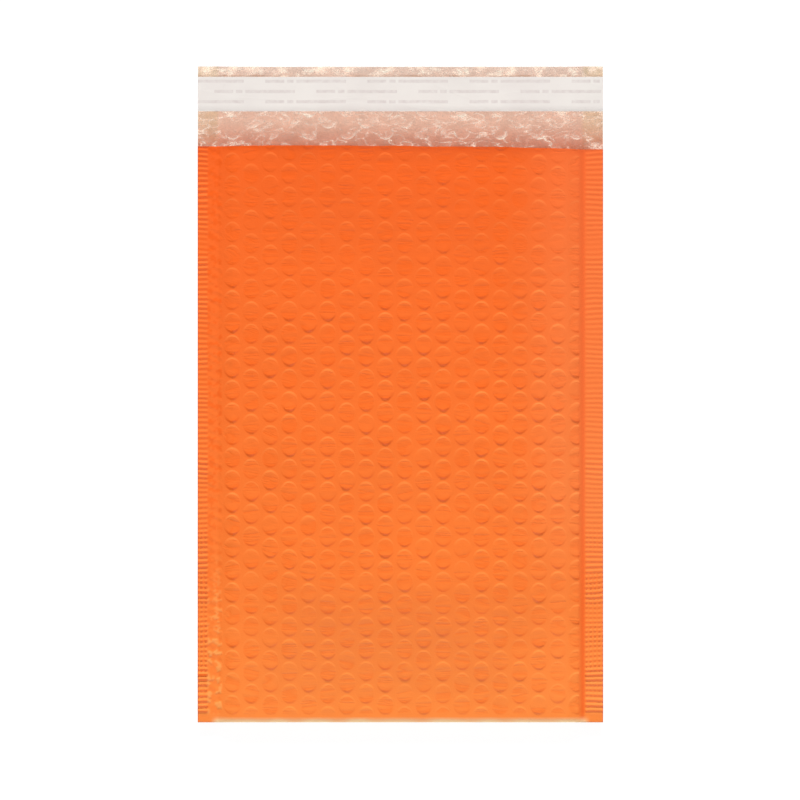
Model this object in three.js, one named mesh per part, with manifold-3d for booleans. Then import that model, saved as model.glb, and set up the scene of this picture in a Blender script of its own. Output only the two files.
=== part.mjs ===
// Padded mailing envelope: an orange film laminated to bubble wrap, folded once at
// the bottom, heat-sealed down both sides, lying on its back with the flap open.
// Millimetres, +Z up. X runs across the envelope and Y from the bottom fold to the
// flap's free edge. The origin is on the resting face, under the middle of the outline.
import * as THREE from 'three';
import { mergeVertices } from 'three/addons/utils/BufferGeometryUtils.js';
import Module from 'manifold-3d';

// Outline
const envelopeWidth = 200;   // over both side seals
const bodyLength = 283;      // bottom fold to mouth
const flapLength = 41;       // mouth to the flap's free edge

// Side seals
const sealWidth = 10;        // strip pressed by the heated bar
const shoulderWidth = 8;     // from the seal to the web's full thickness

// The web is three layers, and the pocket is closed by welding web to web
const webThickness = 3.2;    // body
const flapWebThickness = 2.4; // flap, where the cells are half flattened
const filmThickness = 0.1;   // orange outer film
const liningThickness = 0.1; // clear film that faces the pocket
const pressedCellFilm = 0.1; // cell film where the seal has flattened it
const bondGap = 0.1;         // clearance left between bonded layers
const weldGap = 0.2;         // between the two webs in a seal, filled by the weld
const weldBite = 0.05;       // how far the weld reaches into each lining

// Air cells
const cellPitch = 11.1;      // centre to centre, in a hexagonal field
const landShare = 0.11;      // of the cell layer, left as flat film between cells
const flapRampRows = 1;      // rows of cells that step down from body to flap

// Pocket, a little open as an empty envelope lies
const pocketGap = 5.5;       // air between the linings
const mouthFlare = 1.5;      // extra at the mouth
const flareLength = 61;      // along Y
const plateauWidth = 80;     // level middle of the front panel
const bottomRiseLength = 70; // from the fold to the level middle

// Closure on the flap's inner face
const linerWidth = 17;       // along Y
const linerThickness = 0.1;
const linerInset = 5.2;      // from the flap's free edge
const adhesiveWidth = 13;
const adhesiveThickness = 0.15;
const adhesiveEndInset = 1.5; // from each side of the envelope
const adhesiveCornerRadius = 1.5;

// Facets
const domeSteps = 8;         // plateau to shoulder, each side
const foldSteps = 10;        // half turn of the fold
const bottomRiseSteps = 11;
const flareSteps = 6;
const adhesiveCornerSteps = 4;

// Worked out from the values above
const halfWidth = envelopeWidth / 2;
const sealInnerEdge = halfWidth - sealWidth;
const shoulderEdge = sealInnerEdge - shoulderWidth;
const totalLength = bodyLength + flapLength;
const bottomY = -totalLength / 2;
const mouthY = bottomY + bodyLength;
const flapEndY = bottomY + totalLength;
const pressedWeb = filmThickness + liningThickness + pressedCellFilm + 2 * bondGap;
const rowStep = cellPitch / 2; // rows of the cell lattice, along Y
const flapRampLength = flapRampRows * rowStep;
const foldRadius = webThickness + weldGap / 2;
const foldCentreY = bottomY + foldRadius;
const foldCentreZ = foldRadius;
const backRun = flapEndY - foldCentreY;
const foldRun = Math.PI * foldRadius / 2; // along the middle of the web
const webRun = backRun + foldRun + mouthY - foldCentreY;

const clamp01 = (t) => Math.min(1, Math.max(0, t));
const smooth = (t) => clamp01(t) ** 2 * (3 - 2 * clamp01(t));

// Level inside face of the back web: the body's thickness, then down a ramp to the flap's.
function backInsideZ(y) {
  const share = clamp01((y - mouthY) / flapRampLength);
  return webThickness + (flapWebThickness - webThickness) * share;
}

// Web thickness at a place: full between the shoulders, pressed flat in the seals.
function thicknessAt(x, y) {
  const share = clamp01((sealInnerEdge - Math.abs(x)) / shoulderWidth);
  return pressedWeb + (backInsideZ(y) - pressedWeb) * share;
}

// Air between the two linings.
function gapAt(x, y) {
  const halfPlateau = plateauWidth / 2;
  const across = smooth((sealInnerEdge - Math.abs(x)) / (sealInnerEdge - halfPlateau));
  const rise = pocketGap * smooth((y - foldCentreY) / bottomRiseLength);
  const flare = mouthFlare * smooth((y - mouthY + flareLength) / flareLength);
  return across * (rise + flare);
}

// A point of the folded web. run is the distance along the unfolded web from the flap's
// free edge, and depthOf gives the depth below the orange face for a web thickness. The
// fold is round in the body, and flattens to the same bottom edge in the seals.
function webPoint(x, run, depthOf) {
  if (run <= backRun) {
    const y = flapEndY - run;
    const thickness = thicknessAt(x, y);
    return [x, y, backInsideZ(y) - thickness + depthOf(thickness)];
  }
  if (run < backRun + foldRun) {
    const angle = Math.PI * (run - backRun) / foldRun;
    const thickness = thicknessAt(x, bottomY);
    const depth = depthOf(thickness);
    const reach = foldRadius - depth;
    const height = thickness + weldGap / 2 - depth;
    return [x, foldCentreY - reach * Math.sin(angle), foldCentreZ - height * Math.cos(angle)];
  }
  const y = foldCentreY + run - backRun - foldRun;
  const thickness = thicknessAt(x, y);
  const insideZ = foldCentreZ + weldGap / 2 + gapAt(x, y);
  return [x, y, insideZ + thickness - depthOf(thickness)];
}

// Faces of the three layers, as depths below the orange face.
const cellLayer = (t) => t - filmThickness - liningThickness - 2 * bondGap;
const filmOutside = () => 0;
const filmInside = () => filmThickness;
const cellTop = () => filmThickness + bondGap;
const cellLand = (t) => filmThickness + bondGap + (1 - landShare) * cellLayer(t);
const cellBack = (t) => t - liningThickness - bondGap;
const liningOutside = (t) => t - liningThickness;
const liningInside = (t) => t;

// Evenly spaced values from a to b, without a itself.
const steps = (a, b, count) => Array.from({ length: count }, (_, i) => a + (b - a) * (i + 1) / count);

// X stations shared by every layer, so that their facets stay parallel.
function acrossStations() {
  const halfPlateau = plateauWidth / 2;
  return [
    -halfWidth, -sealInnerEdge, -shoulderEdge,
    ...steps(-shoulderEdge, -halfPlateau, domeSteps), halfPlateau,
    ...steps(halfPlateau, shoulderEdge, domeSteps),
    sealInnerEdge, halfWidth,
  ];
}

const runOnBack = (y) => flapEndY - y;
const runOnFront = (y) => backRun + foldRun + y - foldCentreY;

// Stations along the unfolded web: flap, back, fold and front.
function runStations() {
  const riseEnd = foldCentreY + bottomRiseLength;
  const flareStart = mouthY - flareLength;
  return [
    0, runOnBack(mouthY + flapRampLength), runOnBack(mouthY), backRun,
    ...steps(backRun, backRun + foldRun, foldSteps),
    ...steps(backRun + foldRun, runOnFront(riseEnd), bottomRiseSteps), runOnFront(flareStart),
    ...steps(runOnFront(flareStart), webRun, flareSteps),
  ];
}

// Collects points and triangles for one closed layer.
class LayerMesh {
  constructor() {
    this.points = [];
    this.triangles = [];
  }

  // A row of points across the web, as [{ x, run, depthOf }], kept as [{ index, x, run }].
  addRow(row) {
    return row.map(({ x, run, depthOf }) => {
      this.points.push(...webPoint(x, run, depthOf));
      return { index: this.points.length / 3 - 1, x, run };
    });
  }

  // Triangles between two chains of points, each sorted along key.
  stitch(first, second, key, flipped) {
    let [i, j] = [0, 0];
    while (i < first.length - 1 || j < second.length - 1) {
      const nextFirst = i < first.length - 1 ? first[i + 1][key] : Infinity;
      const nextSecond = j < second.length - 1 ? second[j + 1][key] : Infinity;
      const [a, b] = [first[i].index, second[j].index];
      const advanceFirst = nextFirst <= nextSecond;
      const c = advanceFirst ? first[++i].index : second[++j].index;
      this.triangles.push(...(flipped ? [a, c, b] : [a, b, c]));
    }
  }

  // Both faces and the four rims of a layer, from its outer rows and its inner rows.
  close(outerRows, innerRows) {
    for (let i = 1; i < outerRows.length; i++) this.stitch(outerRows[i - 1], outerRows[i], 'x', true);
    for (let i = 1; i < innerRows.length; i++) this.stitch(innerRows[i - 1], innerRows[i], 'x', false);
    const column = (rows, end) => rows.map((row) => row.at(end));
    this.stitch(outerRows[0], innerRows[0], 'x', false);
    this.stitch(outerRows.at(-1), innerRows.at(-1), 'x', true);
    this.stitch(column(outerRows, 0), column(innerRows, 0), 'run', true);
    this.stitch(column(outerRows, -1), column(innerRows, -1), 'run', false);
  }

  geometry() {
    const geometry = new THREE.BufferGeometry();
    geometry.setAttribute('position', new THREE.Float32BufferAttribute(this.points, 3));
    geometry.setIndex(this.triangles);
    geometry.computeVertexNormals();
    return geometry;
  }
}

// Rows of one face on the shared stations.
function plainRows(mesh, depthOf) {
  return runStations().map((run) => mesh.addRow(acrossStations().map((x) => ({ x, run, depthOf }))));
}

// A layer of film that follows the folded web.
function filmGeometry(outside, inside) {
  const mesh = new LayerMesh();
  mesh.close(plainRows(mesh, outside), plainRows(mesh, inside));
  return mesh.geometry();
}

// One row of the cell field: every third point of the lattice is a cell's crown, and the
// points between are land. The pressed seals have no cells.
function cellRow(rowNumber, run) {
  const spacing = cellPitch / Math.sqrt(3);
  const isOdd = rowNumber % 2 !== 0;
  const count = Math.ceil(shoulderEdge / spacing);
  const row = [];
  for (let i = -count; i <= count; i++) {
    const x = (i + (isOdd ? 0.5 : 0)) * spacing;
    if (Math.abs(x) > shoulderEdge - spacing / 3) continue;
    const isCrown = (i - (isOdd ? 1 : 0)) % 3 === 0;
    row.push({ x, run, depthOf: isCrown ? cellTop : cellLand });
  }
  const edge = (side) => [
    { x: side * halfWidth, run, depthOf: cellTop },
    { x: side * sealInnerEdge, run, depthOf: cellTop },
    { x: side * shoulderEdge, run, depthOf: cellLand },
  ];
  return [...edge(-1), ...row, ...edge(1).reverse()];
}

// Rows of cells from one run to another, spaced from the mouth so that the flap's ramp
// starts and ends on a row, with a row on each end.
function cellRows(mesh, startRun, endRun) {
  const mouthRun = runOnBack(mouthY);
  const first = Math.ceil((startRun - mouthRun) / rowStep + 0.5);
  const last = Math.floor((endRun - mouthRun) / rowStep - 0.5);
  const rows = [cellRow(first - 1, startRun)];
  for (let n = first; n <= last; n++) rows.push(cellRow(n, mouthRun + n * rowStep));
  rows.push(cellRow(last + 1, endRun));
  return rows.map((row) => mesh.addRow(row));
}

// The formed film: a field of six-sided cells on its outer side, flat towards the lining,
// and creased solid round the fold.
function cellFilmGeometry() {
  const mesh = new LayerMesh();
  const foldEnd = backRun + foldRun;
  const foldRows = steps(backRun, foldEnd, foldSteps).slice(0, -1).map((run) => (
    mesh.addRow(acrossStations().map((x) => ({ x, run, depthOf: cellTop })))
  ));
  const outerRows = [...cellRows(mesh, 0, backRun), ...foldRows, ...cellRows(mesh, foldEnd, webRun)];
  mesh.close(outerRows, plainRows(mesh, cellBack));
  return mesh.geometry();
}

const wasm = await Module();
wasm.setup();

// A closed geometry as a solid that can be joined or cut, and back again.
function toSolid(geometry) {
  const bare = geometry.clone();
  bare.deleteAttribute('normal');
  bare.deleteAttribute('uv');
  const merged = mergeVertices(bare, 1e-4);
  return new wasm.Manifold(new wasm.Mesh({
    numProp: 3,
    vertProperties: merged.attributes.position.array,
    triVerts: new Uint32Array(merged.index.array),
  }));
}

function toGeometry(solid) {
  const { vertProperties, triVerts } = solid.getMesh();
  const geometry = new THREE.BufferGeometry();
  geometry.setAttribute('position', new THREE.BufferAttribute(vertProperties, 3));
  geometry.setIndex(new THREE.BufferAttribute(triVerts, 1));
  geometry.computeVertexNormals();
  return geometry;
}

// The weld in a side seal, from its left edge: it fills the space between the two webs
// from the mouth to the inside of the fold, and bites a little into the lining all round.
function weldSolid(leftEdge) {
  const halfHeight = weldGap / 2 + weldBite;
  const reach = foldRadius - pressedWeb + weldBite;
  const profile = new THREE.Shape(); // in the YZ plane
  profile.moveTo(mouthY, foldCentreZ - halfHeight);
  profile.lineTo(mouthY, foldCentreZ + halfHeight);
  profile.absellipse(foldCentreY, foldCentreZ, reach, halfHeight, Math.PI / 2, Math.PI * 1.5);
  const weld = new THREE.ExtrudeGeometry(profile, {
    depth: sealWidth, bevelEnabled: false, curveSegments: foldSteps,
  });
  const [alongX, alongY, alongZ] = [[1, 0, 0], [0, 1, 0], [0, 0, 1]].map((v) => new THREE.Vector3(...v));
  weld.applyMatrix4(new THREE.Matrix4().makeBasis(alongY, alongZ, alongX).setPosition(leftEdge, 0, 0));
  return toSolid(weld);
}

// The lining is the pocket: its front and back are one piece round the fold, and a weld
// joins them inside each side seal.
function liningGeometry() {
  const sheet = toSolid(filmGeometry(liningOutside, liningInside));
  return toGeometry(sheet.add(weldSolid(-halfWidth)).add(weldSolid(sealInnerEdge)));
}

// The bead of adhesive: a flat strip across the flap with rounded corners, each an arc
// about its own centre.
function adhesiveGeometry() {
  const endX = halfWidth - adhesiveEndInset - adhesiveCornerRadius;
  const sideY = adhesiveWidth / 2 - adhesiveCornerRadius;
  const outline = new THREE.Shape();
  const corners = [[endX, -sideY], [endX, sideY], [-endX, sideY], [-endX, -sideY]];
  corners.forEach(([x, y], quarter) => {
    const start = (quarter - 1) * Math.PI / 2;
    outline.absarc(x, y, adhesiveCornerRadius, start, start + Math.PI / 2);
  });
  return new THREE.ExtrudeGeometry(outline, {
    depth: adhesiveThickness, bevelEnabled: false, curveSegments: adhesiveCornerSteps,
  });
}

// The peel-off liner, cut square at the envelope's sides.
function linerGeometry() {
  const liner = new THREE.BoxGeometry(envelopeWidth, linerWidth, linerThickness);
  return liner.translate(0, 0, linerThickness / 2);
}

const orangeFilm = new THREE.MeshStandardMaterial({ color: 0xf9773a, roughness: 0.55, metalness: 0 });
const cellFilm = new THREE.MeshStandardMaterial({
  color: 0xe9cdbf, roughness: 0.2, metalness: 0, transparent: true, opacity: 0.45,
});
const clearLining = new THREE.MeshStandardMaterial({
  color: 0xe6c4b4, roughness: 0.15, metalness: 0, transparent: true, opacity: 0.45,
});
const hotMelt = new THREE.MeshStandardMaterial({ color: 0xe8dcb4, roughness: 0.3, metalness: 0 });
const linerPaper = new THREE.MeshStandardMaterial({ color: 0xeee6e0, roughness: 0.6, metalness: 0 });

const envelope = new THREE.Group();
envelope.name = 'padded_envelope';

function addPiece(parent, name, geometry, material) {
  const piece = new THREE.Mesh(geometry, material);
  piece.name = name;
  parent.add(piece);
  return piece;
}

addPiece(envelope, 'outer_film', filmGeometry(filmOutside, filmInside), orangeFilm);
addPiece(envelope, 'bubble_film', cellFilmGeometry(), cellFilm);
addPiece(envelope, 'lining_film', liningGeometry(), clearLining);

// Adhesive and its peel-off liner, on the level inner face of the flap.
const closure = new THREE.Group();
closure.position.set(0, flapEndY - linerInset - linerWidth / 2, flapWebThickness + bondGap);
envelope.add(closure);
addPiece(closure, 'adhesive_strip', adhesiveGeometry(), hotMelt);
addPiece(closure, 'release_liner', linerGeometry(), linerPaper).position.z = adhesiveThickness + bondGap;

export default envelope;
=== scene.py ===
# Padded mailing envelope: orange film laminated to air cells, folded once at the
# bottom, sealed down both sides, lying on its back with the flap open.
# Shapes are worked out in millimetres and turn into metres when a mesh is made.
import math

import bmesh
import bpy
import numpy as np
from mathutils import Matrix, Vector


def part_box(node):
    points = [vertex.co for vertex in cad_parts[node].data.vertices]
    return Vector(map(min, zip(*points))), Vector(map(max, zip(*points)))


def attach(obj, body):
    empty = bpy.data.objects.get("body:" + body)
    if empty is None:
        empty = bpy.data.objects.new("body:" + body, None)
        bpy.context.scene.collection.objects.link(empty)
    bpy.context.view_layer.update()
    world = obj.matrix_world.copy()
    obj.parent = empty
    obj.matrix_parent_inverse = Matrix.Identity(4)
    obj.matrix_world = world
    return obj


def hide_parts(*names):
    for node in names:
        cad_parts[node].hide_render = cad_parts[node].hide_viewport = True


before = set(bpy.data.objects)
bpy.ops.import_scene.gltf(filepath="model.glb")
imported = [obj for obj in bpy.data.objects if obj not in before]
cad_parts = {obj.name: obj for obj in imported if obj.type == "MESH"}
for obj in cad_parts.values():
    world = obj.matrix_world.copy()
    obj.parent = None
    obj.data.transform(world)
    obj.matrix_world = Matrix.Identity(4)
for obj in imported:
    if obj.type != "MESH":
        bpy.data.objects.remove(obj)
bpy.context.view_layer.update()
mm = 0.001


def boxOf(node):
    low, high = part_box(node)
    return np.array(low) / mm, np.array(high) / mm


outerLow, outerHigh = boxOf("outer_film")
linerLow, linerHigh = boxOf("release_liner")
halfWidth = outerHigh[0]
bottomY = outerLow[1]
flapEndY = outerHigh[1]

# The web is one flat strip of film and cells. Run is measured along it from the
# flap's free edge, down the back, round the bottom fold and up the front to the mouth.
web = dict(
    bodyLength=283,         # bottom fold to mouth
    fullThickness=3.2,
    flapThickness=2.4,      # cells half flattened
    pressedThickness=0.5,   # in the seals
    sealWidth=10,
    shoulderWidth=8,        # from the seal to the full thickness
    shoulderRoundness=1.3,
    flapRamp=5.55,          # body thickness down to flap thickness
    weldGap=0.2,            # between the two webs in a seal
    foldRoundness=0.76,     # 1 is round, and less is squarer
    pocketGap=5.5,          # air in the middle of the empty pocket
    plateauWidth=80,
    riseLength=70,          # from the fold to the level middle
    mouthFlare=1.5,
    flareLength=61,
    lipLift=0.75,           # the mouth's edge curls up a little
    lipLength=10,
    slackHeight=0.22,       # slow unevenness of the front and the flap
    slackLength=55,
    mouthLead=0.7,          # the mouth's edge isn't quite square or straight
    mouthSkew=-0.8,
    mouthWobble=0.12,
)

mouthY = bottomY + web["bodyLength"]
sealInnerEdge = halfWidth - web["sealWidth"]
foldRadius = web["fullThickness"] + web["weldGap"] / 2
foldCentreY = bottomY + foldRadius
backRun = flapEndY - foldCentreY
foldRun = math.pi * foldRadius / 2
frontRun = backRun + foldRun
webRun = frontRun + mouthY - foldCentreY
foldSteps = 12


def smooth(t):
    t = np.clip(t, 0, 1)
    return t * t * (3 - 2 * t)


def ripple(x, run, seed, length, stretch=1.0, waves=10):
    # smooth seeded noise, mostly within -1 to 1, drawn out along x by stretch
    rng = np.random.default_rng(seed)
    total = np.zeros(np.broadcast(x, run).shape)
    for turn in rng.uniform(0, 2 * math.pi, waves):
        size = length * rng.uniform(0.6, 1.7)
        phase = rng.uniform(0, 2 * math.pi)
        along = x / stretch * math.cos(turn) + run * math.sin(turn)
        total += np.sin(2 * math.pi * along / size + phase)
    return total * 0.7 * math.sqrt(2 / waves)


def insideLevel(run):
    # height of the back web's inner face, which steps down onto the flap
    share = np.clip((flapEndY - run - mouthY) / web["flapRamp"], 0, 1)
    return web["fullThickness"] + (web["flapThickness"] - web["fullThickness"]) * share


def thicknessAt(x, run):
    share = np.clip((sealInnerEdge - np.abs(x)) / web["shoulderWidth"], 0, 1)
    share = 1 - (1 - share) ** web["shoulderRoundness"]
    return web["pressedThickness"] + (insideLevel(run) - web["pressedThickness"]) * share


def pocketGapAt(x, y):
    across = smooth((sealInnerEdge - np.abs(x)) / (sealInnerEdge - web["plateauWidth"] / 2))
    rise = web["pocketGap"] * smooth((y - foldCentreY) / web["riseLength"])
    flare = web["mouthFlare"] * smooth((y - mouthY + web["flareLength"]) / web["flareLength"])
    curl = web["lipLift"] * np.clip((y - mouthY + web["lipLength"]) / web["lipLength"], 0, 1) ** 2
    return across * (rise + flare + curl)


def slackAt(x, run):
    # the front and the flap wave a little, and the back lies flat
    free = smooth((run - frontRun) / 40) + smooth((flapEndY - mouthY - run) / 25)
    inside = smooth((halfWidth - np.abs(x)) / 40)
    return web["slackHeight"] * free * inside * ripple(x, run, 3, web["slackLength"])


def foldWeb(x, run, depth):
    # a point of the flat web, depth under its orange face, in its place on the mailer
    thickness = thicknessAt(x, run)
    turn = np.clip((run - backRun) / foldRun, 0, 1) * math.pi
    frontY = foldCentreY + np.maximum(run - frontRun, 0)
    y = np.where(run > backRun, frontY, flapEndY - run)
    y = y - (foldRadius - depth) * np.abs(np.sin(turn)) ** web["foldRoundness"]
    middle = insideLevel(run) + web["weldGap"] / 2
    level = np.sign(np.cos(turn)) * np.abs(np.cos(turn)) ** web["foldRoundness"]
    z = middle - (thickness + web["weldGap"] / 2 - depth) * level
    onFront = run > frontRun
    z = z + np.where(onFront, pocketGapAt(x, frontY), 0) + slackAt(x, run)
    nearMouth = np.where(onFront, smooth((frontY - mouthY + 60) / 60), 0)
    wobble = web["mouthWobble"] * ripple(x, 0 * run, 8, 30) * nearMouth ** 4
    y = y + (web["mouthLead"] + web["mouthSkew"] * x / halfWidth) * nearMouth + wobble
    return np.stack([x, y, z], axis=1)


class FlatSheet:
    # part of the flat web: points as x, run and height, with faces seen from outside
    def __init__(self):
        self.points = np.zeros((0, 3))
        self.faces = []

    def add(self, points, faces):
        first = len(self.points)
        self.points = np.vstack([self.points, points])
        self.faces += [tuple(first + corner for corner in face) for face in faces]
        return first

    def addGrid(self, xs, runs):
        across, along = np.meshgrid(xs, runs)
        points = np.stack([across, along, np.zeros(across.shape)], axis=2).reshape(-1, 3)
        count = len(xs)
        faces = []
        for row in range(len(runs) - 1):
            for corner in range(row * count, row * count + count - 1):
                faces.append((corner, corner + 1, corner + count + 1, corner + count))
        first = self.add(points, faces)
        return first + np.arange(len(points)).reshape(len(runs), count)

    def zipChains(self, left, right, leftAt, rightAt):
        # triangles between two chains of points, each at its distance along them
        i = 0
        j = 0
        while i + 1 < len(left) or j + 1 < len(right):
            useLeft = j + 1 == len(right)
            if i + 1 < len(left) and not useLeft:
                useLeft = leftAt[i + 1] <= rightAt[j + 1]
            if useLeft:
                self.faces.append((left[i], right[j], left[i + 1]))
                i += 1
            else:
                self.faces.append((left[i], right[j], right[j + 1]))
                j += 1

    def chainAt(self, axis, place):
        # the points on one straight line along or across the web, in order
        found = np.flatnonzero(np.abs(self.points[:, axis] - place) < snapReach)
        return found[np.argsort(self.points[found, 1 - axis])]

    def borderRing(self, low, high, first, last):
        # the points on the border of a rectangle, once round, and how far round each is
        ids = np.arange(first, last)
        x, run = self.points[first:last, 0], self.points[first:last, 1]
        width, length = high[0] - low[0], high[1] - low[1]
        at = np.full(len(ids), -1.0)
        for place, side, distance in (
            (x, low[0], 2 * width + length + (high[1] - run)),
            (run, high[1], width + length + (high[0] - x)),
            (x, high[0], width + (run - low[1])),
            (run, low[1], x - low[0]),
        ):
            at = np.where(np.abs(place - side) < snapReach, distance, at)
        ids, at = ids[at >= 0], at[at >= 0]
        order = np.argsort(at)
        ids, at = ids[order], at[order]
        return np.append(ids, ids[0]), np.append(at, 2 * (width + length))

    def close(self, low, high, xs, runs):
        # adds the other face as a plain grid and the rim between the two
        front = len(self.points)
        facesBefore = len(self.faces)
        self.addGrid(xs, runs)
        self.faces[facesBefore:] = [face[::-1] for face in self.faces[facesBefore:]]
        outer, outerAt = self.borderRing(low, high, 0, front)
        inner, innerAt = self.borderRing(low, high, front, len(self.points))
        self.zipChains(outer, inner, outerAt, innerAt)
        return front, facesBefore


snapReach = 0.004


def spaced(*stops):
    # places from stop to stop, given as place, step, place, step, place
    places = [float(stops[0])]
    for step, end in zip(stops[1::2], stops[2::2]):
        start = places[-1]
        count = max(1, round((end - start) / step))
        places += [start + (end - start) * (i + 1) / count for i in range(count)]
    return np.array(places)


def plainRuns(start, end, step):
    # rows along the web, on the ends of the flap's ramp and close together round the fold
    rampEnd = flapEndY - mouthY
    stops = [start]
    for place, before in (
        (rampEnd - web["flapRamp"], step), (rampEnd, step), (backRun, step),
        (frontRun, foldRun / foldSteps), (end, step),
    ):
        if start < place <= end:
            stops += [before, place]
    return spaced(*stops)


# Shader helpers

def addNode(tree, kind, inputs=None, **settings):
    made = tree.nodes.new(kind)
    for key, value in settings.items():
        setattr(made, key, value)
    for key, value in (inputs or {}).items():
        if isinstance(value, bpy.types.NodeSocket):
            tree.links.new(value, made.inputs[key])
        else:
            made.inputs[key].default_value = value
    return made


def maths(tree, operation, a, b=0.0, clamp=False):
    node = addNode(tree, "ShaderNodeMath", {0: a, 1: b}, operation=operation, use_clamp=clamp)
    return node.outputs[0]


def times(tree, a, b, clamp=False):
    return maths(tree, "MULTIPLY", a, b, clamp)


def plus(tree, a, b, clamp=False):
    return maths(tree, "ADD", a, b, clamp)


def minus(tree, a, b, clamp=False):
    return maths(tree, "SUBTRACT", a, b, clamp)


def mixColour(tree, share, a, b, blend="MIX"):
    node = addNode(tree, "ShaderNodeMix", {0: share, 6: a, 7: b}, data_type="RGBA", blend_type=blend)
    return node.outputs[2]


def remap(tree, value, low, high, toLow=0.0, toHigh=1.0):
    inputs = {0: value, 1: low, 2: high, 3: toLow, 4: toHigh}
    return addNode(tree, "ShaderNodeMapRange", inputs).outputs[0]


def colour(red, green, blue):
    # a colour as seen on screen, 0 to 255, as the shaders' linear values
    def linear(value):
        share = value / 255
        return share / 12.92 if share <= 0.04045 else ((share + 0.055) / 1.055) ** 2.4
    return (linear(red), linear(green), linear(blue), 1)


def newGroup(name, kind, inputs, outputs):
    tree = bpy.data.node_groups.new(name, kind)
    for label, sort, value in inputs:
        socket = tree.interface.new_socket(label, in_out="INPUT", socket_type="NodeSocket" + sort)
        if value is not None:
            socket.default_value = value
    for label, sort in outputs:
        tree.interface.new_socket(label, in_out="OUTPUT", socket_type="NodeSocket" + sort)
    return tree, tree.nodes.new("NodeGroupInput").outputs, tree.nodes.new("NodeGroupOutput").inputs


def makeCreaseGroup():
    # fine creases of thin film, drawn out along X by Stretch
    tree, given, out = newGroup(
        "filmCreases", "ShaderNodeTree",
        [("Vector", "Vector", None), ("Scale", "Float", 300.0),
         ("Stretch", "Float", 2.0), ("Sharpness", "Float", 6.0)],
        [("Height", "Float"), ("Creases", "Float")])
    squeeze = addNode(tree, "ShaderNodeCombineXYZ", {
        0: maths(tree, "DIVIDE", 1.0, given["Stretch"]), 1: 1.0, 2: 1.0})
    place = addNode(tree, "ShaderNodeVectorMath", {0: given["Vector"], 1: squeeze.outputs[0]},
                    operation="MULTIPLY").outputs[0]
    slow = addNode(tree, "ShaderNodeTexNoise", {
        "Vector": place, "Scale": given["Scale"], "Detail": 3.0, "Roughness": 0.55, "Distortion": 0.8})
    fine = addNode(tree, "ShaderNodeTexNoise", {
        "Vector": place, "Scale": times(tree, given["Scale"], 3.1), "Detail": 2.0})
    away = maths(tree, "ABSOLUTE", minus(tree, slow.outputs[0], 0.5))
    ridge = minus(tree, 1.0, times(tree, away, 2.0), clamp=True)
    creases = maths(tree, "POWER", ridge, given["Sharpness"])
    height = plus(tree, times(tree, creases, 0.6), times(tree, fine.outputs[0], 0.4))
    tree.links.new(height, out["Height"])
    tree.links.new(creases, out["Creases"])
    return tree


def makeMottleGroup():
    # soft patches between two levels
    tree, given, out = newGroup(
        "mottle", "ShaderNodeTree",
        [("Vector", "Vector", None), ("Scale", "Float", 60.0),
         ("Low", "Float", 0.0), ("High", "Float", 1.0)],
        [("Value", "Float")])
    noise = addNode(tree, "ShaderNodeTexNoise", {
        "Vector": given["Vector"], "Scale": given["Scale"], "Detail": 3.0, "Roughness": 0.6})
    tree.links.new(remap(tree, noise.outputs[0], 0.3, 0.7, given["Low"], given["High"]), out["Value"])
    return tree


creaseGroup = makeCreaseGroup()
mottleGroup = makeMottleGroup()


def newMaterial(name, roughness, gloss=0.5):
    material = bpy.data.materials.new(name)
    material.use_nodes = True
    tree = material.node_tree
    shader = tree.nodes["Principled BSDF"]
    shader.inputs["Roughness"].default_value = roughness
    shader.inputs["Specular IOR Level"].default_value = gloss
    place = tree.nodes.new("ShaderNodeTexCoord").outputs["Object"]
    return material, tree, shader, place


def creased(tree, place, scale, stretch, sharpness):
    inputs = {"Vector": place, "Scale": scale, "Stretch": stretch, "Sharpness": sharpness}
    return addNode(tree, "ShaderNodeGroup", inputs, node_tree=creaseGroup).outputs


def mottled(tree, place, scale, low=0.0, high=1.0):
    inputs = {"Vector": place, "Scale": scale, "Low": low, "High": high}
    return addNode(tree, "ShaderNodeGroup", inputs, node_tree=mottleGroup).outputs["Value"]


def meshValue(tree, name):
    return addNode(tree, "ShaderNodeAttribute", attribute_name=name).outputs["Fac"]


def bumpFrom(tree, shader, height, distance):
    bump = addNode(tree, "ShaderNodeBump", {"Strength": 1.0, "Distance": distance, "Height": height})
    tree.links.new(bump.outputs[0], shader.inputs["Normal"])


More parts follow.
